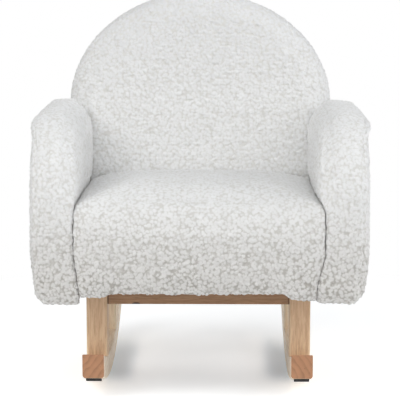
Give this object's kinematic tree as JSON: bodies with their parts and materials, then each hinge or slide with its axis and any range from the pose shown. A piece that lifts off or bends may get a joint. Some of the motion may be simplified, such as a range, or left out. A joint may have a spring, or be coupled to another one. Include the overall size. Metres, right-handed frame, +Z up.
{
  "type": "child's rocking chair",
  "caption": "Small upholstered armchair for a child with an arched back, a domed seat and thick rounded arms in curly pile fabric, on a curved wooden rocker base.",
  "frame": {"origin": "on the floor, under the middle of the chair's bounding box", "axes": "+X to the right as seen from the front, the chair faces -Y, +Z up; left is -X"},
  "size_m": [0.518, 0.516, 0.6075],
  "materials": {
    "beech": "light beech, clear matt lacquer",
    "birch": "sawn birch, unfinished",
    "plywood": "birch plywood, unfinished",
    "pads": "black, matt",
    "steel": "zinc plated",
    "brass": "machined",
    "foam": "upholstery foam, open cell",
    "wadding": "polyester wadding",
    "pile_fabric": "off-white curly pile, soft and matt",
    "webbing": "woven elastic webbing",
    "dust_cloth": "thin black non-woven cloth"
  },
  "bodies": {
    "root": {"rocker_left": "beech", "rocker_right": "beech", "front_leg_left": "beech", "front_leg_right": "beech", "rear_leg_left": "beech", "rear_leg_right": "beech", "front_rail": "beech", "rear_rail": "beech", "side_rail_left": "beech", "side_rail_right": "beech", "leg_dowels": "birch", "rail_dowels": "birch", "stop_pads": "pads", "base_bolts": "steel", "base_washers": "steel", "base_inserts": "brass", "seat_frame_front": "birch", "seat_frame_rear": "birch", "seat_frame_left": "birch", "seat_frame_right": "birch", "seat_corner_blocks": "birch", "seat_deck": "plywood", "seat_foam": "foam", "seat_cover": "pile_fabric", "dust_cover": "dust_cloth", "back_frame": "plywood", "back_webbing": "webbing", "back_foam": "foam", "back_wadding": "wadding", "back_cover": "pile_fabric", "back_bolts": "steel", "back_washers": "steel", "back_tee_nuts": "steel", "arm_panel_left": "plywood", "arm_panel_right": "plywood", "arm_foam_inner_left": "foam", "arm_foam_inner_right": "foam", "arm_foam_outer_left": "foam", "arm_foam_outer_right": "foam", "arm_cover_left": "pile_fabric", "arm_cover_right": "pile_fabric", "arm_bolts": "steel", "arm_washers": "steel", "arm_tee_nuts": "steel"}
  },
  "joints": []
}
